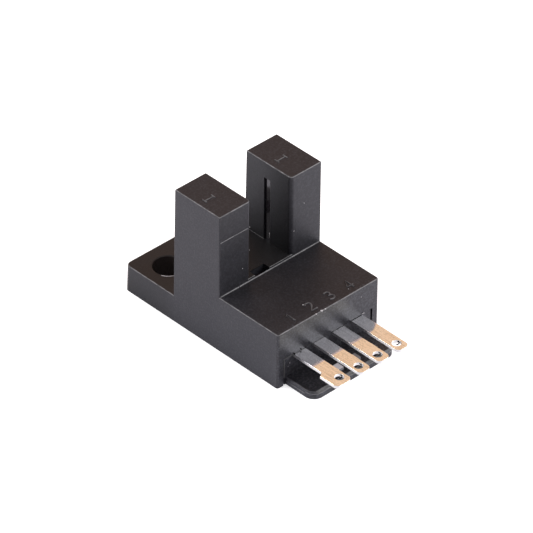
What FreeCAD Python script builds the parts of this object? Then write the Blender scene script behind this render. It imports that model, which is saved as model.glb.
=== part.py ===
import FreeCAD, Part
import math
import os

# Slot-type through-beam photoelectric sensor, in millimetres.
# The origin lies on the mounting face, midway between the two fixing holes.
# +X is the light's direction from arm to arm, the terminals point to -Y and the arms stand up along +Z.

# Moulded case, outside
slot_width = 5.3
arm_thickness = 4.05
arm_depth = 6.25
arm_height = 9.2
arm_back_draft = 1.1
slot_floor_rise = 0.3
block_length = 8.1
flange_length = 7.15
flange_height = 3.1
flange_back_draft = 3.0
hole_spacing = 7.62
hole_diameter = 3.2
hole_rim_radius = 0.12
hole_from_back = 3.1
flange_corner_radius = 0.65
block_corner_radius = 0.25
edge_radius = 0.12
slot_mouth_radius = 0.4
junction_radius = 0.13

# Moulded case, inside
wall = 0.8
arm_top_wall = 0.8
roof = 1.0
component_room = 1.52
board_ledge_width = 0.5
back_ledge_width = 4.4
back_ledge_depth = 0.5
package_rib_width = 0.6
package_rib_inset = 0.4

# Slits, in both arms, from the slot's floor up, with the optical axis at mid-height
optical_axis_offset = 0.175
slit_width = 0.85
slit_from_top = 1.85

# Indicator opening in the front edge of the slot's floor
indicator_offset = -1.05
indicator_width = 1.9
indicator_depth = 0.8
guide_recess = 0.6
guide_collar = 0.35
guide_collar_thickness = 0.5

# Notch in the front wall and the base cover that fills it
notch_height = 3.16
notch_gap = 0.08
cover_thickness = 0.9
cover_gap = 0.2
cover_front_recess = 0.05
holder_depth = 1.7
tongue_length = 3.78
tongue_side_step = 0.14
tongue_corner_radius = 1.1
tongue_lead_in_depth = 0.24
tongue_lead_in_height = 0.27
tongue_edge_radius = 0.12
post_diameter = 1.2
post_spacing = 4.6
post_from_back = 1.1

# Terminals, stamped from one strip of sheet
terminal_count = 4
terminal_pitch = 2.54
terminal_thickness = 0.3
terminal_width = 1.5
terminal_reach = 6.45
terminal_corner_radius = 0.5
solder_hole_diameter = 0.95
solder_hole_from_tip = 1.03
tie_bar_width = 0.85
tie_bar_from_tip = 1.85
tie_bar_break = 0.39
stub_step = 0.3
outer_stub = 0.5
outer_stub_slope = 0.35
tang_width = 0.7
tang_inset = 2.4
tang_height = 1.75
peg_diameter = 0.5
peg_inset = 1.2
terminal_side_gap = 0.05
peg_gap = 0.05

# Circuit board
board_thickness = 0.8
board_edge_gap = 0.2
tang_hole_diameter = 0.95
lead_hole_diameter = 0.7

# Light packages, one in each arm
package_side_room = 0.63
package_height = 5.6
package_thickness = 1.0
package_bevel = 0.5
lens_radius = 0.9
lens_height = 0.25
lead_inset = 0.43
lead_side = 0.4
lead_tail = 0.55

# Filter windows behind the slits
window_plate_width = 2.4
window_plate_thickness = 0.3
window_plate_overlap = 0.45
window_recess = 0.2
window_gap = 0.05
lens_gap = 0.05

# Surface-mounted pieces on the board
chip_length = 1.6
chip_width = 0.8
chip_cap = 0.3
resistor_height = 0.45
capacitor_height = 0.75
led_height = 0.65
cap_step = 0.03
wing_width = 0.4
wing_thickness = 0.15
wing_reach = 0.55
wing_pitch = 0.95
amplifier_length = 2.9
amplifier_width = 1.6
amplifier_height = 1.05
transistor_length = 2.4
transistor_width = 1.3
transistor_height = 0.95
diode_length = 1.7
diode_width = 1.25
diode_height = 0.9
piece_gap = 0.4
row_gap = 0.3

# Solder on the board
solder_height = 0.35
solder_collar = 0.28

# Running clearance between faces that lie against each other
seat_gap = 0.02

# How far a cutting shape reaches past the faces that it cuts
cut_margin = 1.0

# Places that follow from the sizes above
terminal_top = notch_height - notch_gap
terminal_bottom = terminal_top - terminal_thickness
board_bottom = terminal_top
board_top = board_bottom + board_thickness
ceiling = board_top + component_room
block_height = ceiling + roof
slot_floor_height = block_height + slot_floor_rise
overall_height = slot_floor_height + arm_height
slit_top = overall_height - slit_from_top
body_half = slot_width / 2 + arm_thickness
slot_half = slot_width / 2
cavity_half = body_half - wall
flange_back = hole_from_back
arm_back = flange_back - flange_length
arm_front = arm_back - arm_depth
block_front = arm_front - block_length
cavity_back = arm_back - wall
cavity_front = block_front + wall
optical_y = (arm_front + arm_back) / 2 + optical_axis_offset
optical_z = (slot_floor_height + slit_top) / 2
board_front = cavity_front + board_edge_gap
board_back = cavity_back - board_edge_gap
board_half = cavity_half - board_edge_gap
tie_bar_stub = terminal_pitch - terminal_width - tie_bar_break
tang_back = block_front + tang_inset
tang_y = tang_back - terminal_thickness / 2
window_inner = slot_half + wall + window_plate_thickness
package_front = window_inner + lens_gap + lens_height
package_back = package_front + package_thickness
package_middle = package_front + package_thickness / 2
package_width = arm_depth - 2 * wall - 2 * package_side_room
lead_spacing = package_width - 2 * lead_inset
package_bottom = optical_z - package_height / 2
indicator_back = arm_front + indicator_depth
indicator_y = arm_front + indicator_depth / 2
guide_top = block_height - guide_recess + seat_gap
led_top = board_top + led_height
package_row_y = tang_y + tang_hole_diameter / 2 + solder_collar + row_gap + wing_reach + amplifier_width / 2
chip_row_y = cavity_back - back_ledge_depth - row_gap - chip_width / 2
arm_foot_back = arm_back + (overall_height - flange_height) * math.tan(math.radians(arm_back_draft))

sides = (-1, 1)


def vector(x, y, z):
    return FreeCAD.Vector(x, y, z)


def cuboid(x0, x1, y0, y1, z0, z1):
    return Part.makeBox(x1 - x0, y1 - y0, z1 - z0, vector(x0, y0, z0))


def upright(x, y, z0, z1, diameter):
    return Part.makeCylinder(diameter / 2, z1 - z0, vector(x, y, z0))


def side_prism(points, x0, x1):
    """Extrude a profile of (y, z) points from x0 to x1."""
    corners = [vector(x0, y, z) for y, z in points]
    outline = Part.makePolygon(corners + corners[:1])
    return Part.Face(outline).extrude(vector(x1 - x0, 0, 0))


def fuse_all(shapes):
    return shapes[0].multiFuse(shapes[1:]).removeSplitter()


def edges_where(shape, test):
    """Edges whose mid-point and direction pass the test."""
    found = []
    for edge in shape.Edges:
        middle = edge.valueAt((edge.FirstParameter + edge.LastParameter) / 2)
        direction = edge.tangentAt(edge.FirstParameter)
        if test(middle, direction):
            found.append(edge)
    return found


def near(a, b):
    return abs(a - b) < 0.001


def terminal_x(index):
    return (index - (terminal_count - 1) / 2) * terminal_pitch


def lead_places():
    """Both leads of both light packages, as (x, y)."""
    places = []
    for side in sides:
        for half in sides:
            places.append((side * package_middle, optical_y + half * lead_spacing / 2))
    return places


def flange_solid():
    """Mounting flange, with a drafted back face and rounded back corners."""
    foot = flange_back + flange_height * math.tan(math.radians(flange_back_draft))
    profile = [(foot, 0), (flange_back, flange_height), (arm_front, flange_height), (arm_front, 0)]
    solid = side_prism(profile, -body_half, body_half)
    corners = edges_where(solid, lambda m, d: near(abs(m.x), body_half) and m.y > 0 and abs(d.z) > 0.9)
    solid = solid.makeFillet(flange_corner_radius, corners)
    rim = edges_where(solid, lambda m, d: near(m.z, flange_height) and m.y > arm_foot_back - arm_depth / 2)
    return solid.makeFillet(edge_radius, rim)


def block_solid():
    """Front block over the circuit, with rounded front corners and a rounded top edge."""
    solid = cuboid(-body_half, body_half, block_front, cavity_back, 0, block_height)
    corners = edges_where(solid, lambda m, d: near(m.y, block_front) and abs(d.z) > 0.9)
    solid = solid.makeFillet(block_corner_radius, corners)
    rim = edges_where(solid, lambda m, d: near(m.z, block_height) and m.y < cavity_back - wall)
    return solid.makeFillet(edge_radius, rim)


def arm_profile(z0, z1):
    """Side profile of an arm or of the slot's floor, with the drafted back face."""
    slope = math.tan(math.radians(arm_back_draft))
    back_low = arm_back + (overall_height - z0) * slope
    back_high = arm_back + (overall_height - z1) * slope
    return [(back_low, z0), (back_high, z1), (arm_front, z1), (arm_front, z0)]


def arm_solid(side):
    """One arm, from the mounting face to its top, rounder where the slot opens to the front."""
    x0, x1 = sorted((side * slot_half, side * body_half))
    arm = side_prism(arm_profile(0, overall_height), x0, x1)
    mouth = edges_where(arm, lambda m, d: near(m.x, side * slot_half) and near(m.y, arm_front))
    arm = arm.makeFillet(slot_mouth_radius, mouth)
    rim = edges_where(arm, lambda m, d: near(m.z, overall_height))
    corners = edges_where(arm, lambda m, d: abs(d.z) > 0.9 and (near(abs(m.x), body_half) or m.y > optical_y))
    return arm.makeFillet(edge_radius, rim + corners)


def slot_floor_solid():
    """Floor of the sensing slot, a little above the block's top."""
    floor = side_prism(arm_profile(0, slot_floor_height), -slot_half - wall, slot_half + wall)
    front = edges_where(floor, lambda m, d: near(m.z, slot_floor_height) and near(m.y, arm_front))
    return floor.makeFillet(edge_radius / 2, front)


def arm_foot_fillet():
    """Small hollow fillet where the arms and the slot's floor rise from the block's top."""
    reach = junction_radius
    foot = vector(0, arm_front, block_height)
    front = foot + vector(0, -reach, 0)
    top = foot + vector(0, 0, reach)
    middle = foot + vector(0, -reach, reach) + vector(0, 1, -1) * (reach * math.sqrt(0.5))
    edges = [Part.makeLine(foot, front), Part.Arc(front, middle, top).toShape(), Part.makeLine(top, foot)]
    half = body_half - edge_radius
    fillet = Part.Face(Part.Wire(edges)).extrude(vector(2 * half, 0, 0))
    fillet.translate(vector(-half, 0, 0))
    return fillet


def fixing_hole(side):
    """Through hole with a rounded upper rim, where the screw's head bears."""
    radius = hole_diameter / 2
    rim = radius + hole_rim_radius
    rim_low = flange_height - hole_rim_radius
    bulge = hole_rim_radius * math.sqrt(0.5)
    rounding = Part.Arc(vector(radius, 0, rim_low), vector(rim - bulge, 0, rim_low + bulge),
                        vector(rim, 0, flange_height))
    bottom = vector(0, 0, 0)
    foot = vector(radius, 0, 0)
    top = vector(0, 0, flange_height)
    edges = [Part.makeLine(bottom, foot), Part.makeLine(foot, rounding.StartPoint), rounding.toShape(),
             Part.makeLine(rounding.EndPoint, top), Part.makeLine(top, bottom)]
    hole = Part.Face(Part.Wire(edges)).revolve(bottom, vector(0, 0, 1), 360)
    hole.translate(vector(side * hole_spacing / 2, 0, 0))
    return hole


def case_cavity():
    """Hollow for the board, the two hollow arms, the notch, the slits and the indicator opening."""
    cuts = [cuboid(-cavity_half, cavity_half, cavity_front, cavity_back, 0, ceiling)]
    cuts.append(cuboid(-cavity_half, cavity_half, block_front - cut_margin, cavity_front, 0, notch_height))
    arm_top = overall_height - arm_top_wall
    slit_front = optical_y - slit_width / 2
    slit_back = optical_y + slit_width / 2
    for side in sides:
        x0, x1 = sorted((side * (slot_half + wall), side * cavity_half))
        cuts.append(cuboid(x0, x1, arm_front + wall, cavity_back, 0, arm_top))
        x0, x1 = sorted((side * (slot_half - wall), side * (slot_half + wall)))
        cuts.append(cuboid(x0, x1, slit_front, slit_back, slot_floor_height, slit_top))
    x0 = indicator_offset - indicator_width / 2
    above = slot_floor_height + cut_margin
    cuts.append(cuboid(x0, x0 + indicator_width, arm_front, indicator_back, 0, above))
    return cuts


def case_ribs():
    """Ledges that the board is pressed against and ribs that back the light packages."""
    ribs = [cuboid(-back_ledge_width / 2, back_ledge_width / 2,
                   cavity_back - back_ledge_depth, cavity_back, board_top, ceiling)]
    rib_top = package_bottom + package_height
    for side in sides:
        x0, x1 = sorted((side * (cavity_half - board_ledge_width), side * cavity_half))
        ribs.append(cuboid(x0, x1, cavity_front, arm_front, board_top, ceiling))
        x0, x1 = sorted((side * (package_back + seat_gap), side * cavity_half))
        for half in sides:
            y = optical_y + half * (package_width / 2 - package_rib_inset)
            ribs.append(cuboid(x0, x1, y - package_rib_width / 2, y + package_rib_width / 2,
                               package_bottom, rib_top))
    return ribs


def case():
    """Black moulded case: flange, two hollow arms, slot floor and front block in one piece."""
    outside = fuse_all([flange_solid(), block_solid(), slot_floor_solid(), arm_solid(-1), arm_solid(1),
                        arm_foot_fillet()])
    holes = [fixing_hole(side) for side in sides]
    hollow = outside.cut(Part.makeCompound(holes + case_cavity()))
    return fuse_all([hollow] + case_ribs())


def tongue_outline():
    """Plan outline of the cover plate and the tongue, with two round front corners."""
    half = cavity_half - cover_gap
    tip_half = half - tongue_side_step
    back = cavity_back - cover_gap
    root = block_front + cover_front_recess
    front = block_front - tongue_length
    radius = tongue_corner_radius
    bulge = radius * math.sqrt(0.5)
    right_middle = vector(tip_half - radius + bulge, front + radius - bulge, 0)
    left_middle = vector(-right_middle.x, right_middle.y, 0)
    right = Part.Arc(vector(tip_half, front + radius, 0), right_middle, vector(tip_half - radius, front, 0))
    left = Part.Arc(vector(radius - tip_half, front, 0), left_middle, vector(-tip_half, front + radius, 0))
    edges = [right.toShape(), Part.makeLine(right.EndPoint, left.StartPoint), left.toShape()]
    rest = [left.EndPoint, vector(-tip_half, root, 0), vector(-half, root, 0), vector(-half, back, 0),
            vector(half, back, 0), vector(half, root, 0), vector(tip_half, root, 0), right.StartPoint]
    for start, end in zip(rest, rest[1:]):
        edges.append(Part.makeLine(start, end))
    return Part.Face(Part.Wire(edges))


def cover_plate():
    """Base plate with its tongue, whose front edge is sloped as a lead-in for the plug."""
    plate = tongue_outline().extrude(vector(0, 0, cover_thickness))
    tip_half = cavity_half - cover_gap - tongue_side_step
    long_edges = edges_where(plate, lambda m, d: near(m.z, cover_thickness) and near(abs(m.x), tip_half))
    plate = plate.makeFillet(tongue_edge_radius, long_edges)
    slope_back = block_front - tongue_length + tongue_lead_in_depth
    slope_front = slope_back - 2 * tongue_lead_in_depth
    above = cover_thickness + cut_margin
    slope = [(slope_front, cover_thickness - 2 * tongue_lead_in_height), (slope_back, cover_thickness),
             (slope_back, above), (slope_front, above)]
    return plate.cut(side_prism(slope, -body_half, body_half))


def terminal_holder():
    """Upright wall of the cover that fills the notch and carries the terminals in grooves."""
    top = terminal_top - seat_gap
    front = block_front + cover_front_recess
    half = cavity_half - cover_gap
    back = block_front + holder_depth
    holder = cuboid(-half, half, front, back, 0, top)
    grooves = []
    pegs = []
    for index in range(terminal_count):
        x = terminal_x(index)
        reach = terminal_width / 2 + terminal_side_gap
        grooves.append(cuboid(x - reach, x + reach, front - cut_margin, back + cut_margin,
                              terminal_bottom, top + cut_margin))
        pegs.append(upright(x, block_front + peg_inset, terminal_bottom - wall / 2, top, peg_diameter))
    return holder.cut(Part.makeCompound(grooves)).multiFuse(pegs)


def base_cover():
    """Base cover pressed into the case from below, in one piece with tongue, holder and board posts."""
    post_y = cavity_back - post_from_back
    posts = [upright(side * post_spacing / 2, post_y, 0, board_bottom, post_diameter) for side in sides]
    return fuse_all([cover_plate(), terminal_holder()] + posts)


def terminal_blade(left_stub, right_stub):
    """Flat blade in plan, with stubs of the sheared tie bar and two round corners at the tip."""
    half = terminal_width / 2
    tip = block_front - terminal_reach
    root = tang_back
    radius = terminal_corner_radius
    bulge = radius * math.sqrt(0.5)
    left = -half - left_stub
    right = half + right_stub
    bar_front = tip + tie_bar_from_tip
    bar_back = bar_front + tie_bar_width
    right_arc = Part.Arc(vector(half, tip + radius, 0),
                         vector(half - radius + bulge, tip + radius - bulge, 0),
                         vector(half - radius, tip, 0))
    left_arc = Part.Arc(vector(left + radius, tip, 0),
                        vector(left + radius - bulge, tip + radius - bulge, 0),
                        vector(left, tip + radius, 0))
    edges = [right_arc.toShape(), Part.makeLine(right_arc.EndPoint, left_arc.StartPoint), left_arc.toShape()]
    rest = [left_arc.EndPoint]
    if left_stub:
        rest += [vector(left, bar_back - outer_stub_slope, 0), vector(-half, bar_back, 0)]
    rest += [vector(-half, root, 0), vector(half, root, 0)]
    if right_stub:
        rest += [vector(half, bar_back, 0), vector(right, bar_back, 0), vector(right, bar_front, 0),
                 vector(half, bar_front, 0)]
    rest.append(right_arc.StartPoint)
    for start, end in zip(rest, rest[1:]):
        edges.append(Part.makeLine(start, end))
    return Part.Face(Part.Wire(edges)).extrude(vector(0, 0, terminal_thickness))


def terminal(index):
    """One terminal: blade with solder hole and peg hole, and a tang bent up through the board."""
    left_stub = 0 if index else outer_stub
    right_stub = max(0, tie_bar_stub - stub_step * index)
    blade = terminal_blade(left_stub, right_stub)
    blade.translate(vector(terminal_x(index), 0, terminal_bottom))
    tang = cuboid(terminal_x(index) - tang_width / 2, terminal_x(index) + tang_width / 2,
                  tang_back - terminal_thickness, tang_back, terminal_bottom, terminal_bottom + tang_height)
    solder_hole = upright(terminal_x(index), block_front - terminal_reach + solder_hole_from_tip,
                          terminal_bottom, terminal_top, solder_hole_diameter)
    peg_hole = upright(terminal_x(index), block_front + peg_inset, terminal_bottom,
                       terminal_top, peg_diameter + 2 * peg_gap)
    return fuse_all([blade, tang]).cut(Part.makeCompound([solder_hole, peg_hole]))


def circuit_board():
    """Board with holes for the four tangs and the four leads."""
    board = cuboid(-board_half, board_half, board_front, board_back, board_bottom, board_top)
    holes = []
    for index in range(terminal_count):
        holes.append(upright(terminal_x(index), tang_y, board_bottom, board_top, tang_hole_diameter))
    for x, y in lead_places():
        holes.append(upright(x, y, board_bottom, board_top, lead_hole_diameter))
    return board.cut(Part.makeCompound(holes))


def light_package(side):
    """Moulded side-looking package with bevelled top corners and a domed lens towards the slot."""
    front = optical_y - package_width / 2
    back = optical_y + package_width / 2
    top = package_bottom + package_height
    profile = [(front, package_bottom), (back, package_bottom), (back, top - package_bevel),
               (back - package_bevel, top), (front + package_bevel, top), (front, top - package_bevel)]
    body = side_prism(profile, side * package_front, side * package_back)
    dome_radius = (lens_radius ** 2 + lens_height ** 2) / (2 * lens_height)
    centre = side * (package_front - lens_height + dome_radius)
    dome = Part.makeSphere(dome_radius, vector(centre, optical_y, optical_z))
    x0, x1 = sorted((side * (package_front - lens_height), side * package_front))
    cap = dome.common(cuboid(x0, x1, front, back, package_bottom, top))
    return fuse_all([body, cap])


def package_leads(side):
    """Two straight leads from the package down through the board."""
    low = board_bottom - lead_tail
    x = side * package_middle
    leads = []
    for half in sides:
        y = optical_y + half * lead_spacing / 2
        leads.append(cuboid(x - lead_side / 2, x + lead_side / 2, y - lead_side / 2, y + lead_side / 2,
                            low, package_bottom))
    return Part.makeCompound(leads)


def filter_window(side):
    """Filter plate on the arm's inner wall, with a rib that fills the slit to just under its face."""
    plate_x0, plate_x1 = sorted((side * (slot_half + wall), side * window_inner))
    half = window_plate_width / 2
    low = slot_floor_height - window_plate_overlap
    high = slit_top + window_plate_overlap
    plate = cuboid(plate_x0, plate_x1, optical_y - half, optical_y + half, low, high)
    rib_x0, rib_x1 = sorted((side * (slot_half + window_recess), side * (slot_half + wall)))
    rib_half = slit_width / 2 - window_gap
    rib = cuboid(rib_x0, rib_x1, optical_y - rib_half, optical_y + rib_half,
                 slot_floor_height + window_gap, slit_top - window_gap)
    return fuse_all([plate, rib])


def indicator_light_guide():
    """Clear guide from the lamp on the board into the indicator opening, held by a collar."""
    half = indicator_width / 2 - window_gap
    front = arm_front + window_gap
    back = indicator_back - window_gap
    column = cuboid(indicator_offset - half, indicator_offset + half, front, back,
                    led_top + seat_gap, guide_top)
    collar = cuboid(indicator_offset - half - guide_collar, indicator_offset + half + guide_collar,
                    front - guide_collar, back + guide_collar, ceiling - seat_gap - guide_collar_thickness,
                    ceiling - seat_gap)
    return fuse_all([column, collar])


def chip(x, y, height):
    """Two-ended chip, lying along X on the board, with end caps that stand a little proud."""
    half = chip_length / 2
    top = board_top + height
    block = cuboid(x - half, x + half, y - chip_width / 2, y + chip_width / 2, board_top, top)
    between_caps = cuboid(x - half + chip_cap, x + half - chip_cap, y - chip_width, y + chip_width,
                          top - cap_step, top + cut_margin)
    return block.cut(between_caps)


def gull_wing(x, y, direction, height):
    """Lead that leaves the body's side, steps down and lies flat on the board."""
    reach = direction * wing_reach
    thick = direction * wing_thickness
    middle = board_top + height / 2
    low = board_top + wing_thickness
    profile = [(y, middle), (y + reach / 2, middle), (y + reach / 2, low), (y + reach, low),
               (y + reach, board_top), (y + reach / 2 - thick, board_top),
               (y + reach / 2 - thick, middle - wing_thickness), (y, middle - wing_thickness)]
    return side_prism(profile, x - wing_width / 2, x + wing_width / 2)


def small_outline(x, length, width, height, front_wings, back_wings):
    """Moulded body with leads, given in lead pitches from its middle, on its front and back sides."""
    body = cuboid(x - length / 2, x + length / 2, package_row_y - width / 2, package_row_y + width / 2,
                  board_top + cap_step, board_top + height)
    top = edges_where(body, lambda m, d: near(m.z, board_top + height))
    shapes = [body.makeChamfer(wing_thickness, top)]
    for pitches in front_wings:
        shapes.append(gull_wing(x + pitches * wing_pitch, package_row_y - width / 2, -1, height))
    for pitches in back_wings:
        shapes.append(gull_wing(x + pitches * wing_pitch, package_row_y + width / 2, 1, height))
    return fuse_all(shapes)


def solder_fillet(x, y, z, up, hole):
    """Cone of solder on one side of the board, round a pin in the hole."""
    wide = hole / 2 + solder_collar
    narrow = hole / 2
    profile = [vector(0, 0, 0), vector(wide, 0, 0), vector(narrow, 0, up * solder_height),
               vector(0, 0, up * solder_height)]
    cone = Part.Face(Part.makePolygon(profile + profile[:1])).revolve(vector(0, 0, 0), vector(0, 0, 1), 360)
    cone.translate(vector(x, y, z))
    return cone


def solder_joints(pins):
    """Solder of the four tangs, on top of the board, and of the four leads, under it."""
    cones = []
    for index in range(terminal_count):
        cones.append(solder_fillet(terminal_x(index), tang_y, board_top, 1, tang_hole_diameter))
    for x, y in lead_places():
        cones.append(solder_fillet(x, y, board_bottom, -1, lead_hole_diameter))
    return Part.makeCompound([cone.cut(pins).Solids[0] for cone in cones])


def board_pieces():
    """Small pieces on top of the board: packages, the indicator lamp and, behind it, four chips."""
    left = -(amplifier_length + transistor_length) / 2 - piece_gap
    right = (amplifier_length + diode_length) / 2 + piece_gap
    pieces = {
        "indicator_led": chip(indicator_offset, indicator_y, led_height),
        "amplifier_chip": small_outline(0, amplifier_length, amplifier_width, amplifier_height,
                                        (-1, 0, 1), (-1, 1)),
        "output_transistor": small_outline(left, transistor_length, transistor_width, transistor_height,
                                           (0,), (-1, 1)),
        "protection_diode": small_outline(right, diode_length, diode_width, diode_height, (0,), (0,)),
    }
    chip_x = (chip_length + piece_gap) / 2
    next_row_y = chip_row_y - chip_width - row_gap
    pieces["emitter_resistor"] = chip(-chip_x, chip_row_y, resistor_height)
    pieces["pull_up_resistor"] = chip(chip_x, chip_row_y, resistor_height)
    pieces["indicator_resistor"] = chip(-chip_x, next_row_y, resistor_height)
    pieces["bypass_capacitor"] = chip(chip_x, next_row_y, capacitor_height)
    return pieces


def build():
    pieces = {"case": case(), "base_cover": base_cover(), "circuit_board": circuit_board()}
    for index in range(terminal_count):
        pieces["terminal_%d" % (index + 1)] = terminal(index)
    for name, side in (("emitter", -1), ("receiver", 1)):
        pieces[name + "_package"] = light_package(side)
        pieces[name + "_leads"] = package_leads(side)
        pieces[name + "_window"] = filter_window(side)
    pieces["indicator_light_guide"] = indicator_light_guide()
    pieces.update(board_pieces())
    pins = [pieces["terminal_%d" % (index + 1)] for index in range(terminal_count)]
    pins += [pieces["emitter_leads"], pieces["receiver_leads"]]
    pieces["solder_joints"] = solder_joints(Part.makeCompound(pins))
    return pieces


os.makedirs("parts", exist_ok=True)
for name, shape in build().items():
    shape.exportStep("parts/%s.step" % name)
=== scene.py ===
# Looks of a slot-type through-beam sensor, in the frame of its CAD part
import math
import random

import bmesh
import bpy
from mathutils import Matrix, Vector


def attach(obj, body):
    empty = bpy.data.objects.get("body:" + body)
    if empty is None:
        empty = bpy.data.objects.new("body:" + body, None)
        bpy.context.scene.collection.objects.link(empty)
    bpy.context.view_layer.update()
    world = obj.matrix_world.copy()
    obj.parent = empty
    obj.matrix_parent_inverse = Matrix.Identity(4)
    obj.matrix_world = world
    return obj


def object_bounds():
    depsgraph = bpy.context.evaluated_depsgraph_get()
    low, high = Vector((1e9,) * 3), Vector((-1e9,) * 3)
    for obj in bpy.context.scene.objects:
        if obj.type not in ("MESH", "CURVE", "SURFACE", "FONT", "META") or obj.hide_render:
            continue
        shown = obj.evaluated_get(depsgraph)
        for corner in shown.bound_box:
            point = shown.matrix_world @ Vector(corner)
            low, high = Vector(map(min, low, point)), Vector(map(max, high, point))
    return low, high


MM = 0.001

# Camera, solved from the photograph's corners: it looks down past the left arm at the terminals
CAMERA_AIM = Vector((0.0, -10.42, 8.228)) * MM
CAMERA_AZIMUTH = math.radians(-43.8836)
CAMERA_ELEVATION = math.radians(37.1153)
CAMERA_ROLL = math.radians(0.5652)
CAMERA_DISTANCE = 493.56 * MM
CAMERA_RIGHT = -0.4553 * MM
CAMERA_UP = -1.1429 * MM
CAMERA_LENS = 347.6
CAMERA_SENSOR = 36.0
CAMERA_CLIP = (0.01, 20)

# Stage and light: a lamp has its direction from the object, its side in metres and its power in watts
FLOOR_SIZE = 3.0
FLOOR_WHITE = (0.8, 0.8, 0.81)
FLOOR_SEEN = (0.6, 0.6, 0.6)
FLOOR_MIRRORED = (0.8, 0.8, 0.96)
SKY_PLAIN = (0.5, 0.5, 0.53)
SKY_WARM = (0.79, 0.55, 0.44)
SKY_WARM_SIDE = (0.553, 0.575, 0.603)
SKY_FADE = (0.4, 0.85)
LIGHT_DISTANCE = 0.5
FRONT_LIGHT = ((0.52, -0.66, 0.52), 0.42, 2.5)
BACK_LIGHT = ((-0.6, 0.58, 0.56), 0.26, 1.6)

# Places on the object, from the source of the part, in millimetres
BODY_HALF = 6.7
CAVITY_HALF = 5.9
NOTCH_TOP = 3.16
FLANGE_TOP = 3.1
FLANGE_BACK = 3.26
HOLE_X = 3.81
HOLE_RADIUS = 1.66
SLOT_SIDE = 2.65
SLOT_FLOOR = 6.7
WINDOW_FACE = 2.85
BLOCK_TOP = 6.4
BLOCK_FRONT = -18.4
ARM_TOP = 15.9
ARM_FRONT = -10.3
TERMINAL_COUNT = 4
TERMINAL_PITCH = 2.54
TERMINAL_HALF = 0.75
EYELET_Y = -23.82
EYELET_TOP = 2.95
TONGUE_HALF = 5.56
TONGUE_FRONT = -22.18
TONGUE_ROOT = -14.0
TONGUE_CORNER = 1.1
LEAD_IN_FOOT = 0.63

# Where the looks change, in millimetres: a fade runs from its first place to its second
FLOOR_FADE = (-2.5, 2.0)        # from the object's outline outward, in what it mirrors of the floor
FLOOR_DEEPER_FROM = -8.0        # behind this place that fade lies further out, by the share below
FLOOR_DEEPER_SHARE = 0.07
PAINTED_SHADE_FADE = (-4.0, -2.5)     # along the flange, where the painted shade behind the arms fades out
SLOT_MARGIN = 0.03              # beyond the slot's side walls
LEVEL_MARGIN = 0.1              # below the slot's floor and above the flange
RIM_FADE = (1.8, 2.1)           # from the middle of a fixing hole
BORE_EDGE = 1.64                # within this radius lies the hole's brown wall
FRONT_FADE = (BLOCK_FRONT + 0.4, BLOCK_FRONT + 0.1)     # on the case, toward its front face
PLATING_EDGE = BLOCK_FRONT - 2.66
BORDER_FADE = (PLATING_EDGE + 0.04, PLATING_EDGE)       # from tin to gold
BORDER_WAVE = 0.03
BORDER_SLANT = 0.42
SLANT_MIDDLE = 3.0              # where the slanted border crosses the plain one
SLANT_FROM = 2.5                # between the third terminal and the fourth
ROOT_SHADE_FADE = (BLOCK_FRONT - 0.8, BLOCK_FRONT - 2.2)     # on the first blade's sides, toward its tip, over which the painted shade near the case fades out
ROOT_SHADE_LONGER = 1.2              # further toward the tip on the other blades
ROOT_SHADE_LONGER_FROM = -3.0
STUB_MARGIN = 0.02              # beside the blade's side
STUB_SHADE_FADE = (-1.9, -0.8)     # from left to right over the stubs, where their tops take a painted shade
BLADE_ROUNDING = 0.07
BLADE_BOW = 0.042               # slope of the bowed blades, seen only in what they mirror

# Most of a noise lies between these values
NOISE_RANGE = (0.3, 0.7)

# Raised marks, in millimetres; the digits' points are shares of their height
DIGITS = {
    "1": [[(0.12, 0.78), (0.34, 1), (0.34, 0)]],
    "2": [[(0.02, 0.78), (0.14, 0.95), (0.34, 1), (0.54, 0.92), (0.6, 0.74), (0.5, 0.52),
           (0.02, 0), (0.64, 0)]],
    "3": [[(0.04, 0.9), (0.22, 1), (0.46, 0.96), (0.56, 0.77), (0.44, 0.58), (0.24, 0.54)],
          [(0.24, 0.54), (0.48, 0.5), (0.62, 0.28), (0.5, 0.07), (0.26, 0), (0.02, 0.1)]],
    "4": [[(0.46, 0), (0.46, 1), (0, 0.3), (0.64, 0.3)]],
}
DIGIT_HEIGHT = 1.2
DIGIT_FOOT = -17.75
DIGIT_MIDDLE = 0.32
AXIS_LINES = {"emitter": (-5.87, -4.75), "receiver": (3.6, 4.7)}
AXIS_LINE_Y = -7.35
AXIS_BAR = 0.3

# Flash, and beads of painted highlight, shade and reflection, in millimetres: a line has its two ends
# along it, and Y or Z in a name is the place across it
JOINT_Y = BLOCK_FRONT + 0.05
JOINT_LEFT_FOOT = 0.95
JOINT_LEFT_TOP = NOTCH_TOP - 0.04
JOINT_LEFT_END = -4.7
JOINT_TOP = NOTCH_TOP - 0.035
JOINT_TOP_WAVE = 0.012
JOINT_TOP_RUNS = (
    (-4.5, -3.9, -3.1), (-2.9, -1.9, 0.3), (0.62, 0.95, 1.15), (1.35, 1.6, 1.95), (4.45, 4.8, 5.5))
HOLE_CURL_RADIUS = HOLE_RADIUS + 0.08
HOLE_CURL_TURNS = range(203, 249, 5)    # degrees
EYELET_CURL = ((0.42, 0.32), (0.43, 0.18), (0.4, 0.05), (0.3, -0.06), (0.12, -0.1), (-0.06, -0.06))
ARM_LINE = (-BODY_HALF + 0.1, -3.05)
ARM_LINE_Z = 12.84
SLOT_LINE = (-4.3, -6.6)
SLIT_REFLECTION = ((-7.24, 7.65), (-7.28, 7.2), (-7.34, 6.8))        # y and z on the window's face
TONGUE_LINE = (BLOCK_FRONT - 0.02, TONGUE_FRONT + 1.15)
TONGUE_LINE_Z = 0.42
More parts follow.
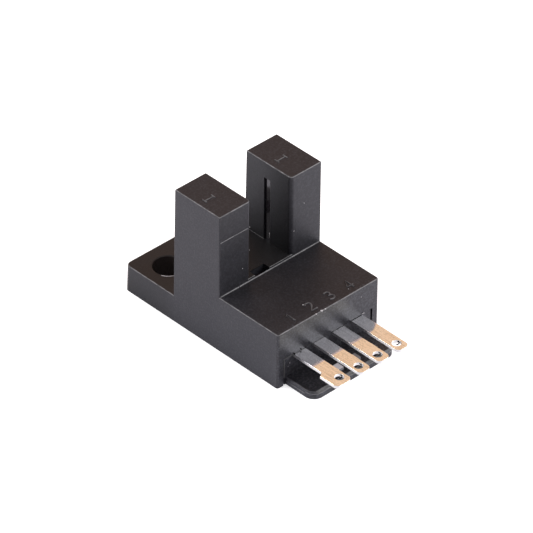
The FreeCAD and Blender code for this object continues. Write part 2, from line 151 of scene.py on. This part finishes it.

# Radii of the beads that draw the marks, the flash and the painted highlight, shade and reflection, in
# millimetres
DIGIT_BEAD = 0.09
AXIS_BEAD = 0.07
JOINT_LEFT_BEAD = 0.09
JOINT_TOP_BEAD = 0.055
HOLE_CURL_BEAD = 0.045
EYELET_CURL_BEAD = 0.055
PARTING_BEAD = 0.045
SLOT_LINE_BEAD = 0.03
SLIT_REFLECTION_BEAD = 0.06
LEAD_IN_BEAD = 0.05

# Burrs on the block and on the arms' fronts: x, y, z and radius in millimetres
BURRS = (
    (-1.65, -18.36, 6.38, 0.1),
    (-0.93, -18.36, 6.39, 0.13),
    (-0.42, -18.36, 6.35, 0.1),
    (-4.06, -10.36, 6.46, 0.06),
    (-3.68, -10.29, 8.38, 0.05),
    (-2.75, -10.26, 10.1, 0.05),
    (-2.75, -10.27, 12.84, 0.05),
    (3.12, -10.29, 9.4, 0.06),
    (4.41, -10.29, 12.1, 0.05),
    (-1.6, -16.52, 6.4, 0.07),
    (3.32, -17.67, 6.4, 0.07),
    (4.35, -18.4, 5.3, 0.05),
    (4.5, -18.42, 3.2, 0.09),
    (4.7, -18.42, 3.19, 0.1),
    (-5.08, -18.39, 2.33, 0.05),
    (-5.3, -18.39, 2.0, 0.04),
)

# Dark grains in the same form, two at the first terminal's root and one in the last terminal's eyelet, the
# one in the eyelet being a painted shade
DARK_GRAINS = (
    (-4.54, -18.46, 3.2, 0.13),
    (-3.66, -18.44, 3.28, 0.08),
    (4.24, -23.64, 2.97, 0.09),
)

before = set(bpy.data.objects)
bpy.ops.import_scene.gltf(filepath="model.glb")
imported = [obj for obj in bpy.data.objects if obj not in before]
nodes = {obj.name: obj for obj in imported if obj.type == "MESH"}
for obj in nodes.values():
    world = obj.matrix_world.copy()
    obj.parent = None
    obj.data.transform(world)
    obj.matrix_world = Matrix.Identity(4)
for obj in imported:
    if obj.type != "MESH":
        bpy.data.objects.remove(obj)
cad_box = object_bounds()


def camera():
    """Camera at the photograph's angle, moved aside so that the object lies where the photo has it."""
    turn, tilt, roll = CAMERA_AZIMUTH, CAMERA_ELEVATION, CAMERA_ROLL
    back = Vector((math.sin(turn) * math.cos(tilt), -math.cos(turn) * math.cos(tilt), math.sin(tilt)))
    level = Vector((math.cos(turn), math.sin(turn), 0))
    upward = back.cross(level)
    right = math.cos(roll) * level + math.sin(roll) * upward
    up = math.cos(roll) * upward - math.sin(roll) * level
    place = CAMERA_AIM + CAMERA_DISTANCE * back + CAMERA_RIGHT * right + CAMERA_UP * up
    data = bpy.data.cameras.new("camera")
    data.lens = CAMERA_LENS
    data.sensor_width = CAMERA_SENSOR
    data.clip_start, data.clip_end = CAMERA_CLIP
    obj = bpy.data.objects.new("camera", data)
    obj.matrix_world = Matrix((
        (right.x, up.x, back.x, place.x),
        (right.y, up.y, back.y, place.y),
        (right.z, up.z, back.z, place.z),
        (0, 0, 0, 1)))
    bpy.context.scene.collection.objects.link(obj)
    bpy.context.scene.camera = obj


class Nodes:
    """The node tree of a material, m below, or of a world, w: short calls add nodes and link them."""

    def __init__(self, owner, shader="Principled BSDF"):
        owner.use_nodes = True
        self.owner = owner
        self.tree = owner.node_tree
        self.shader = self.tree.nodes[shader]
        self.coordinates = self.add("ShaderNodeTexCoord").outputs

    def add(self, kind, **values):
        node = self.tree.nodes.new(kind)
        for key, value in values.items():
            setattr(node, key, value)
        return node

    def feed(self, target, value):
        """Gives an input a link, or else a plain number or colour."""
        if isinstance(value, bpy.types.NodeSocket):
            self.tree.links.new(value, target)
        elif isinstance(value, (int, float)):
            target.default_value = value
        else:
            target.default_value = (*value, 1)

    def surface(self, **values):
        """Feeds the shader's own inputs, whose names have _ for a space."""
        for key, value in values.items():
            self.feed(self.shader.inputs[key.replace("_", " ")], value)

    def axes(self, kind="Object"):
        """The x, y and z of the place on the object, or of another kind of coordinates."""
        node = self.add("ShaderNodeSeparateXYZ")
        self.feed(node.inputs[0], self.coordinates[kind])
        return node.outputs

    def noise(self, scale, detail=2.0, rough=0.5, stretch=None):
        """Noise with patches of about 1 / scale metres, drawn out along an axis with a stretch below 1."""
        node = self.add("ShaderNodeTexNoise")
        node.inputs["Scale"].default_value = scale
        node.inputs["Detail"].default_value = detail
        node.inputs["Roughness"].default_value = rough
        place = self.coordinates["Object"]
        if stretch:
            drawn = self.add("ShaderNodeVectorMath", operation="MULTIPLY")
            drawn.inputs[1].default_value = stretch
            self.feed(drawn.inputs[0], place)
            place = drawn.outputs[0]
        self.feed(node.inputs["Vector"], place)
        return node.outputs["Fac"]

    def math(self, operation, *values):
        node = self.add("ShaderNodeMath", operation=operation)
        for target, value in zip(node.inputs, values):
            self.feed(target, value)
        return node.outputs[0]

    def plus(self, first, second):
        return self.math("ADD", first, second)

    def minus(self, first, second):
        return self.math("SUBTRACT", first, second)

    def times(self, first, second):
        return self.math("MULTIPLY", first, second)

    def larger(self, first, second):
        return self.math("MAXIMUM", first, second)

    def above(self, value, limit):
        """1 where the value is above the limit and 0 elsewhere."""
        return self.math("GREATER_THAN", value, limit)

    def below(self, value, limit):
        """1 where the value is below the limit and 0 elsewhere."""
        return self.math("LESS_THAN", value, limit)

    def absolute(self, value):
        return self.math("ABSOLUTE", value)

    def mix(self, factor, first, second, blend_type="MIX"):
        """Mix of two colours, the first where the factor is 0 and the second where it is 1."""
        node = self.add("ShaderNodeMix", data_type="RGBA", blend_type=blend_type)
        for name, value in (("Factor", factor), ("A", first), ("B", second)):
            self.feed(node.inputs[name], value)
        return node.outputs["Result"]

    def shade(self, colour, mask, start, end):
        """Colour times a level that goes from start to end with the mask."""
        return self.mix(1, colour, self.mix(mask, [start] * 3, [end] * 3), "MULTIPLY")

    def span(self, source, low, high, start=0.0, end=1.0, interpolation_type="LINEAR"):
        """Values from low to high while the source goes from start to end."""
        node = self.add("ShaderNodeMapRange", interpolation_type=interpolation_type)
        node.inputs["From Min"].default_value = start
        node.inputs["From Max"].default_value = end
        node.inputs["To Min"].default_value = low
        node.inputs["To Max"].default_value = high
        self.feed(node.inputs["Value"], source)
        return node.outputs["Result"]

    def spread(self, noise, low, high):
        """Values from low to high over the range in which most of a noise lies."""
        return self.span(noise, low, high, *NOISE_RANGE)

    def fade(self, source, first, last):
        """0 up to the first place and 1 from the last place on, both in millimetres."""
        return self.span(source, 0, 1, first * MM, last * MM)

    def bump(self, height, depth, strength, under=None):
        """Normals of a height field whose full height is the depth in millimetres, over other normals."""
        node = self.add("ShaderNodeBump")
        node.inputs["Strength"].default_value = strength
        node.inputs["Distance"].default_value = depth * MM
        self.feed(node.inputs["Height"], height)
        if under:
            self.feed(node.inputs["Normal"], under)
        return node.outputs["Normal"]


def material_nodes(name):
    """Nodes of a new material, whose name the pieces and the table use."""
    return Nodes(bpy.data.materials.new(name))


def scaled(colour, factor):
    """Plain colour times a number."""
    return [factor * part for part in colour]


def edge_wear_and_highlight(m):
    """0 on level and upright faces, up to 1 on the rounded rims between them, in broken patches; there the
    colour is lighter, partly from abrasion and partly as a painted highlight.
    """
    level = m.math("POWER", m.axes("Normal")["Z"], 2)
    rim = m.times(level, m.minus(4, m.times(level, 4)))
    return m.times(rim, m.span(m.noise(1500, 3), 0.4, 1, 0.35, 0.6))


def from_hole(m):
    """Square of the distance, in plan, from the nearer fixing hole's middle."""
    x, y = m.axes()[:2]
    beside = m.minus(m.absolute(x), HOLE_X * MM)
    return m.plus(m.times(beside, beside), m.times(y, y))


def painted_shade_in_slot_and_flange(m):
    """1 in the sensing slot and on the flange behind the arms, where the faces are darkened as a painted
    shade.
    """
    x, y, z = m.axes()
    slot = m.times(m.below(m.absolute(x), (SLOT_SIDE + SLOT_MARGIN) * MM),
                   m.above(z, (SLOT_FLOOR - LEVEL_MARGIN) * MM))
    flange = m.times(m.fade(y, *PAINTED_SHADE_FADE), m.below(z, (FLANGE_TOP + LEVEL_MARGIN) * MM))
    return m.larger(slot, flange)


def black_face(m, cloud, front, lift):
    """Colour of an even black face, with fine specks that are denser on the block's front, a little darker
    toward the front, and with painted shade in the slot and on the flange behind the arms.
    """
    plain = m.mix(m.spread(cloud, 0, 1), scaled((0.0052, 0.005, 0.0075), lift),
                  scaled((0.0094, 0.009, 0.0122), lift))
    speck = m.mix(cloud, scaled((0.03, 0.0305, 0.037), lift), scaled((0.036, 0.0365, 0.044), lift))
    dust = m.times(m.span(m.noise(5200, 3, 0.6), 0, 1, 0.46, 0.7), m.span(front, 0.5, 1.5))
    face = m.shade(m.mix(dust, plain, speck), front, 1, 0.9)
    # Painted shade: darker faces in the sensing slot and on the flange behind the arms
    return m.shade(face, painted_shade_in_slot_and_flange(m), 1, 0.4)


def black_moulding(name, lift=1.0, rubbed_and_highlit=0.0, rim_wear_and_highlight_level=1.0):
    """Black moulded plastic with grain, specks, faint clouds, brown bores, painted shade in the slot and
    behind the arms, and lighter, smoother rims and scuffed patches whose lighter colour is partly abrasion
    and partly a painted highlight.
    """
    m = material_nodes(name)
    cloud = m.noise(350, 4)
    front = m.fade(m.axes()["Y"], *FRONT_FADE)
    apart = from_hole(m)
    # Lighter rims and scuffed patches: partly abrasion, partly a painted highlight
    rims = m.times(edge_wear_and_highlight(m), m.span(apart, 0, rim_wear_and_highlight_level, *[(radius * MM) ** 2 for radius in RIM_FADE]))
    wear_and_highlight = m.larger(rims, m.times(m.span(m.noise(1800, 3), 0.3, 1, 0.3, 0.6), rubbed_and_highlit))

    rim = m.mix(cloud, (0.125, 0.122, 0.13), (0.175, 0.171, 0.18))
    bore = m.mix(cloud, (0.02, 0.014, 0.013), (0.034, 0.026, 0.024))
    face = m.mix(m.below(apart, (BORE_EDGE * MM) ** 2), black_face(m, cloud, front, lift), bore)

    rough = m.minus(m.spread(cloud, 0.47, 0.53), m.times(wear_and_highlight, 0.1))
    waves = m.bump(m.noise(600, 2), 0.012, 0.5)
    mottle = m.bump(m.noise(2600, 3), 0.011, 0.6, waves)
    m.surface(Base_Color=m.mix(wear_and_highlight, face, rim),
              Roughness=m.minus(rough, m.times(front, 0.055)),
              Normal=m.bump(m.noise(8000, 3), 0.008, 0.7, mottle),
              IOR=1.42)
    return m.owner


def chip_moulding(name):
    """Black resin of a moulded chip: fine spark-eroded grain, faint flow clouds and uneven gloss."""
    m = material_nodes(name)
    cloud = m.noise(350, 4)
    waves = m.bump(m.noise(600, 2), 0.012, 0.5)
    m.surface(Base_Color=m.mix(m.spread(cloud, 0, 1), (0.02, 0.02, 0.022), (0.035, 0.035, 0.038)),
              Roughness=m.spread(cloud, 0.55, 0.7),
              Normal=m.bump(m.noise(9000, 3), 0.004, 0.6, waves))
    return m.owner


def terminal_x(index):
    """Middle of a terminal in millimetres, counted from 0 at the left."""
    return (index - (TERMINAL_COUNT - 1) / 2) * TERMINAL_PITCH


def plating_border(m, x, y):
    """1 beyond the border between tin and gold, which runs at a slant on the fourth terminal."""
    slant = m.times(m.above(x, SLANT_FROM * MM), m.times(m.minus(x, SLANT_MIDDLE * MM), BORDER_SLANT))
    wave = m.times(m.noise(900, 3), BORDER_WAVE * MM)
    return m.fade(m.plus(m.minus(y, slant), wave), *BORDER_FADE)


def plated(m, tip, streak):
    """Colour of the plated faces, stained and streaked: tin, or gold where the tip's mask is 1."""
    stain = m.spread(m.noise(1200, 4), 0, 1)
    tin = m.mix(stain, (0.72, 0.72, 0.78), (0.81, 0.81, 0.86))
    gold = m.mix(stain, (0.98, 0.89, 0.69), (1, 0.94, 0.76))
    speck = m.times(m.noise(7000, 3, 0.6), streak)
    return m.shade(m.mix(tip, tin, gold), m.span(speck, 0, 1, 0.14, 0.28), 0.76, 1)


def stamped(m, x, y):
    """Colour of the blades' stamped sides: dark near the case, a painted shade, and bright toward the tip.
    """
    patch = m.noise(6000, 3)
    painted_root_shade = m.mix(patch, (0.1, 0.1, 0.11), (0.2, 0.2, 0.21))
    bright = m.mix(patch, (0.75, 0.74, 0.76), (0.93, 0.92, 0.94))
    longer = m.times(m.above(x, ROOT_SHADE_LONGER_FROM * MM), ROOT_SHADE_LONGER * MM)
    return m.mix(m.fade(m.plus(y, longer), *ROOT_SHADE_FADE), painted_root_shade, bright)


def on_stub(m, x):
    """1 on what is left of the tie bar, beside the blades."""
    beside = m.math("MODULO", m.minus(x, terminal_x(0) * MM), TERMINAL_PITCH * MM)
    start = TERMINAL_HALF + STUB_MARGIN
    return m.times(m.above(beside, start * MM), m.below(beside, (TERMINAL_PITCH - start) * MM))


def sheared(m, x, side):
    """Colour of the tie bar's stubs: on top darker from left to right, and nearly black on their sides,
    both a painted shade.
    """
    patch = m.noise(5000, 3)
    top = m.mix(patch, (0.4, 0.4, 0.44), (0.6, 0.6, 0.65))
    painted_side_shade = m.mix(patch, (0.02, 0.02, 0.022), (0.05, 0.05, 0.055))
    return m.mix(side, m.shade(top, m.fade(x, *STUB_SHADE_FADE), 0.62, 0.2), painted_side_shade)


def terminal_plating(name):
    """Rolled strip, tinned where it leaves the case and pale gold at the tips, with matt stamped sides,
    and painted shade on those sides near the case and on the tie bar's stubs.
    """
    m = material_nodes(name)
    x, y = m.axes()[:2]
    tip = plating_border(m, x, y)
    side = m.span(m.absolute(m.axes("Normal")["Z"]), 1, 0, 0.4, 0.8)
    stub = on_stub(m, x)
    streak = m.noise(9000, 3, stretch=(1, 0.06, 1))
    blade = m.mix(side, plated(m, tip, streak), stamped(m, x, y))

    matt = m.larger(m.times(side, 0.35), m.times(stub, 0.3))
    soft_edge = m.add("ShaderNodeBevel", samples=8)
    soft_edge.inputs["Radius"].default_value = BLADE_ROUNDING * MM
    bow_in_metres = m.times(y, BLADE_BOW)
    bowed = m.bump(bow_in_metres, 1 / MM, 1, soft_edge.outputs["Normal"])
    rolled = m.bump(m.noise(1500, 2), 0.006, 0.4, bowed)
    lines = m.bump(streak, 0.004, 0.6, rolled)
    m.surface(Base_Color=m.mix(stub, blade, sheared(m, x, side)),
              Roughness=m.plus(m.spread(m.noise(2500, 3), 0.05, 0.11), matt),
              Metallic=m.minus(m.span(tip, 0.93, 0.9), m.times(matt, 2.6)),
              Normal=m.bump(m.noise(9000, 2), 0.003, 0.5, lines))
    return m.owner


def plain_gloss(name, first, second, roughness, shine=0.5):
    """Smooth lacquer, resin or glaze, a little clouded, uneven in gloss and faintly wavy."""
    m = material_nodes(name)
    cloud = m.noise(1200, 3)
    waves = m.bump(m.noise(900, 2), 0.003, 0.4)
    m.surface(Base_Color=m.mix(cloud, first, second),
              Roughness=m.spread(cloud, 0.85 * roughness, 1.15 * roughness),
              Normal=m.bump(m.noise(7000, 3), 0.0008, 0.4, waves),
              Specular_IOR_Level=shine)
    return m.owner


def metal(name, first, second, roughness):
    """Tinned or soldered metal with dull stains and a pitted skin."""
    m = material_nodes(name)
    stain = m.noise(2500, 3)
    m.surface(Base_Color=m.mix(stain, first, second),
              Roughness=m.spread(stain, 1.3 * roughness, 0.8 * roughness),
              Normal=m.bump(m.noise(3000, 2), 0.008, 0.5),
              Metallic=1.0)
    return m.owner


def dress(material, *names):
    """Gives the material to the CAD nodes of these names."""
    for name in names:
        data = nodes[name].data
        data.materials.clear()
        data.materials.append(material)


def dress_outside():
    """Materials of the outside, and those of the marks, the flash, the burrs and the beads of painted
    highlight, shade and reflection.
    """
    dress(black_moulding("black_moulding"), "case")
    dress(black_moulding("cover_moulding", lift=1.25, rim_wear_and_highlight_level=0.25), "base_cover")
    terminals = ["terminal_%d" % (index + 1) for index in range(TERMINAL_COUNT)]
    dress(terminal_plating("gold_plate"), *terminals)
    window = plain_gloss("filter", (0.012, 0.011, 0.013), (0.018, 0.015, 0.018), 0.06)
    dress(window, "emitter_window", "receiver_window")
    guide = plain_gloss("light_guide", (0.02, 0.005, 0.005), (0.03, 0.006, 0.006), 0.2)
    dress(guide, "indicator_light_guide")
    # Lighter beads and raised marks, whose lighter rims and scuffed patches are partly a painted highlight
    black_moulding("rubbed_and_highlit_moulding", rubbed_and_highlit=1.0)
    black_moulding("mark_moulding", rubbed_and_highlit=0.5, rim_wear_and_highlight_level=0.55)
    # The burr material also colours the painted highlight at the fixing holes and the painted reflection
    # at the slit's foot
    plain_gloss("burr", (0.35, 0.34, 0.36), (0.6, 0.58, 0.6), 0.25)
    # Near-black grains, also the painted shade in the eyelets
    plain_gloss("black_grain_and_shade", (0.001, 0.001, 0.001), (0.004, 0.004, 0.004), 0.85, shine=0.1)


def dress_inside():
    """Materials of the board and of what it carries."""
    dress(plain_gloss("board", (0.02, 0.11, 0.05), (0.03, 0.15, 0.07), 0.3), "circuit_board")
    dress(plain_gloss("clear_package", (0.3, 0.36, 0.5), (0.36, 0.42, 0.58), 0.15), "emitter_package")
    dress(plain_gloss("dark_package", (0.02, 0.015, 0.02), (0.03, 0.02, 0.03), 0.15), "receiver_package")
    lead = metal("tinned_lead", (0.6, 0.6, 0.61), (0.75, 0.75, 0.76), 0.3)
    dress(lead, "emitter_leads", "receiver_leads")
    dress(plain_gloss("lamp", (0.5, 0.08, 0.05), (0.6, 0.1, 0.07), 0.3), "indicator_led")
    dress(chip_moulding("chip_moulding"), "amplifier_chip", "output_transistor", "protection_diode")
    resistor = plain_gloss("resistor", (0.02, 0.02, 0.022), (0.04, 0.04, 0.043), 0.35)
    dress(resistor, "emitter_resistor", "indicator_resistor", "pull_up_resistor")
    dress(plain_gloss("capacitor", (0.38, 0.3, 0.2), (0.46, 0.36, 0.24), 0.5), "bypass_capacitor")
    dress(metal("solder", (0.65, 0.65, 0.67), (0.8, 0.8, 0.82), 0.2), "solder_joints")


def bead(name, lines, radius, material="rubbed_and_highlit_moulding"):
    """Rounded bead along lines of (x, y, z) in millimetres, whose lower half is sunk in the face below."""
    curve = bpy.data.curves.new(name, "CURVE")
    curve.dimensions = "3D"
    curve.bevel_depth = radius * MM
    curve.bevel_resolution = 3
    curve.use_fill_caps = True
    for line in lines:
        spline = curve.splines.new("POLY")
        spline.points.add(len(line) - 1)
        for point, place in zip(spline.points, line):
            point.co = (*(Vector(place) * MM), 1)
    shape = bpy.data.objects.new(name + "_line", curve)
    bpy.context.scene.collection.objects.link(shape)
    bpy.context.view_layer.update()
    mesh = bpy.data.meshes.new_from_object(shape.evaluated_get(bpy.context.evaluated_depsgraph_get()))
    bpy.data.objects.remove(shape)
    bpy.data.curves.remove(curve)
    for polygon in mesh.polygons:
        polygon.use_smooth = True
    add_piece(name, mesh, material)


def add_piece(name, mesh, material):
    """Own piece that rides on the body, with the given material."""
    piece = bpy.data.objects.new(name, mesh)
    mesh.materials.clear()
    mesh.materials.append(bpy.data.materials[material])
    bpy.context.scene.collection.objects.link(piece)
    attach(piece, "root")


def terminal_numbers():
    """Plain raised numbers on the block's top, one behind each terminal."""
    for index, (digit, strokes) in enumerate(DIGITS.items()):
        left = terminal_x(index) - DIGIT_MIDDLE * DIGIT_HEIGHT
        lines = []
        for stroke in strokes:
            lines.append([(left + x * DIGIT_HEIGHT, DIGIT_FOOT + y * DIGIT_HEIGHT, BLOCK_TOP)
                          for x, y in stroke])
        bead("terminal_number_" + digit, lines, DIGIT_BEAD, "mark_moulding")


def axis_lines():
    """Plain raised line on each arm's top at the light's axis, with a short bar at both ends."""
    for name, ends in AXIS_LINES.items():
        lines = [[(x, AXIS_LINE_Y, ARM_TOP) for x in ends]]
        for x in ends:
            lines.append([(x, AXIS_LINE_Y - AXIS_BAR, ARM_TOP), (x, AXIS_LINE_Y + AXIS_BAR, ARM_TOP)])
        bead(name + "_axis_line", lines, AXIS_BEAD, "mark_moulding")


def joint_flash():
    """Flash that fills the cover's joint in the front wall: along the left end and over the terminals."""
    left = -CAVITY_HALF + JOINT_LEFT_BEAD
    corner = [(left, JOINT_LEFT_FOOT), (left, JOINT_LEFT_TOP), (JOINT_LEFT_END, JOINT_LEFT_TOP)]
    bead("joint_flash_left", [[(x, JOINT_Y, z) for x, z in corner]], JOINT_LEFT_BEAD, "black_moulding")
    lines = []
    for run in JOINT_TOP_RUNS:
        lines.append([(x, JOINT_Y, JOINT_TOP + JOINT_TOP_WAVE * (k % 2)) for k, x in enumerate(run)])
    bead("joint_flash_top", lines, JOINT_TOP_BEAD, "black_moulding")


def arc(x, y, z, radius, turns):
    """Points of a level arc about a middle, one at each of the turns in degrees."""
    return [(x + radius * math.cos(math.radians(turn)), y + radius * math.sin(math.radians(turn)), z)
            for turn in turns]


def hole_flash_and_highlight():
    """Thin curl of flash beside the near edge of both fixing holes, coloured light as a painted highlight.
    """
    lines = [arc(side * HOLE_X, 0, FLANGE_TOP, HOLE_CURL_RADIUS, HOLE_CURL_TURNS) for side in (-1, 1)]
    bead("hole_flash_and_highlight", lines, HOLE_CURL_BEAD, "burr")


def eyelet_painted_shade():
    """Dark hooked curve in every solder eyelet, a painted shade on the eyelet's wall."""
    lines = []
    for index in range(TERMINAL_COUNT):
        lines.append([(terminal_x(index) + x, EYELET_Y + y, EYELET_TOP) for x, y in EYELET_CURL])
    bead("eyelet_painted_shade", lines, EYELET_CURL_BEAD, "black_grain_and_shade")


def parting_lines():
    """Fine flash where the mould's parts met, on the left arm and in the slot, drawn lighter as a painted
    highlight, and a light sliver on the window at the slit's foot, a painted reflection.
    """
    bead("arm_parting_line", [[(x, ARM_FRONT, ARM_LINE_Z) for x in ARM_LINE]], PARTING_BEAD)
    foot = [(SLOT_SIDE, y, SLOT_FLOOR) for y in SLOT_LINE]
    bead("slot_parting_line", [foot], SLOT_LINE_BEAD, "mark_moulding")
    sliver = [(WINDOW_FACE, y, z) for y, z in SLIT_REFLECTION]
    bead("slit_foot_reflection", [sliver], SLIT_REFLECTION_BEAD, "burr")


def tongue_edges():
    """Lighter bead along the edge at the foot of the tongue's lead-in, a painted highlight, and fine flash
    along both sides of the tongue, drawn lighter as a painted highlight.
    """
    corner_x = TONGUE_HALF - TONGUE_CORNER
    corner_y = TONGUE_FRONT + TONGUE_CORNER
    edge = arc(-corner_x, corner_y, LEAD_IN_FOOT, TONGUE_CORNER, range(180, 271, 15))
    edge += arc(corner_x, corner_y, LEAD_IN_FOOT, TONGUE_CORNER, range(270, 361, 15))
    bead("lead_in_edge", [edge], LEAD_IN_BEAD)
    for name, x in (("left", -TONGUE_HALF), ("right", TONGUE_HALF)):
        bead("tongue_parting_line_" + name, [[(x, y, TONGUE_LINE_Z) for y in TONGUE_LINE]], PARTING_BEAD)


def burrs():
    """Small shiny burrs and dark grains of moulding dust, each an uneven little stone; the dark grain in
    the last eyelet is a painted shade.
    """
    for name, places, material in (("burrs", BURRS, "burr"), ("grains", DARK_GRAINS, "black_grain_and_shade")):
        mesh = bpy.data.meshes.new(name)
        shape = bmesh.new()
        chance = random.Random(7)
        for x, y, z, size in places:
            stone = bmesh.ops.create_icosphere(shape, subdivisions=1, radius=size * MM)
            for vertex in stone["verts"]:
                vertex.co *= chance.uniform(0.65, 1.2)
                vertex.co += Vector((x, y, z)) * MM
        shape.to_mesh(mesh)
        shape.free()
        add_piece(name, mesh, material)


def beyond(m, half_width, front, back):
    """Distance outside a rectangle in plan, below 0 inside it."""
    x, y = m.axes()[:2]
    middle = (front + back) / 2
    beside = m.minus(m.absolute(x), half_width * MM)
    along = m.minus(m.absolute(m.minus(y, middle * MM)), (back - middle) * MM)
    return m.larger(beside, along)


def floor_paint():
    """White to the camera and in mirrors, but dark in mirrors near the object, where its shade lies."""
    m = material_nodes("floor")
    m.surface(Base_Color=FLOOR_WHITE, Roughness=1.0, Specular_IOR_Level=0.0)
    rays = m.add("ShaderNodeLightPath").outputs
    mirrored = m.larger(rays["Is Glossy Ray"], rays["Is Transmission Ray"])
    body = beyond(m, BODY_HALF, BLOCK_FRONT, FLANGE_BACK)
    tongue = beyond(m, TONGUE_HALF, TONGUE_FRONT, TONGUE_ROOT)
    deeper = m.times(m.minus(m.axes()["Y"], FLOOR_DEEPER_FROM * MM), FLOOR_DEEPER_SHARE)
    apart = m.minus(m.math("MINIMUM", body, tongue), deeper)
    lit = m.times(mirrored, m.fade(apart, *FLOOR_FADE))
    whole = m.shader.outputs[0]
    for share, colour in ((rays["Is Camera Ray"], FLOOR_SEEN), (lit, FLOOR_MIRRORED)):
        glow = m.add("ShaderNodeEmission")
        m.feed(glow.inputs["Color"], colour)
        m.feed(glow.inputs["Strength"], share)
        both = m.add("ShaderNodeAddShader")
        m.feed(both.inputs[0], whole)
        m.feed(both.inputs[1], glow.outputs[0])
        whole = both.outputs[0]
    m.feed(m.tree.nodes["Material Output"].inputs["Surface"], whole)
    return m.owner


def floor():
    """Pale floor under the object, which keeps its soft shadow."""
    half = FLOOR_SIZE / 2
    low = cad_box[0].z
    corners = [(-half, -half, low), (half, -half, low), (half, half, low), (-half, half, low)]
    mesh = bpy.data.meshes.new("floor")
    mesh.from_pydata(corners, [], [(0, 1, 2, 3)])
    mesh.materials.append(floor_paint())
    obj = bpy.data.objects.new("floor", mesh)
    bpy.context.scene.collection.objects.link(obj)


def softbox(name, direction, size, power):
    """Square area lamp at LIGHT_DISTANCE from the object's middle, facing it."""
    data = bpy.data.lights.new(name, "AREA")
    data.shape = "SQUARE"
    data.size = size
    data.energy = power
    obj = bpy.data.objects.new(name, data)
    aim = Vector(direction).normalized()
    obj.location = CAMERA_AIM + aim * LIGHT_DISTANCE
    obj.rotation_euler = aim.to_track_quat("Z", "Y").to_euler()
    bpy.context.scene.collection.objects.link(obj)


def sky():
    """Plain studio surround, a little warmer and brighter behind the object on the right."""
    w = Nodes(bpy.data.worlds.new("world"), "Background")
    side = w.add("ShaderNodeVectorMath", operation="DOT_PRODUCT")
    side.inputs[1].default_value = SKY_WARM_SIDE
    w.feed(side.inputs[0], w.coordinates["Generated"])
    warmth = w.span(side.outputs["Value"], 0, 1, *SKY_FADE, "SMOOTHSTEP")
    w.surface(Color=w.mix(warmth, SKY_PLAIN, SKY_WARM))
    bpy.context.scene.world = w.owner


camera()
dress_outside()
dress_inside()
terminal_numbers()
axis_lines()
joint_flash()
hole_flash_and_highlight()
eyelet_painted_shade()
parting_lines()
tongue_edges()
burrs()
floor()
sky()
softbox("front_light", *FRONT_LIGHT)
softbox("back_light", *BACK_LIGHT)
bpy.context.scene.view_settings.view_transform = "Standard"
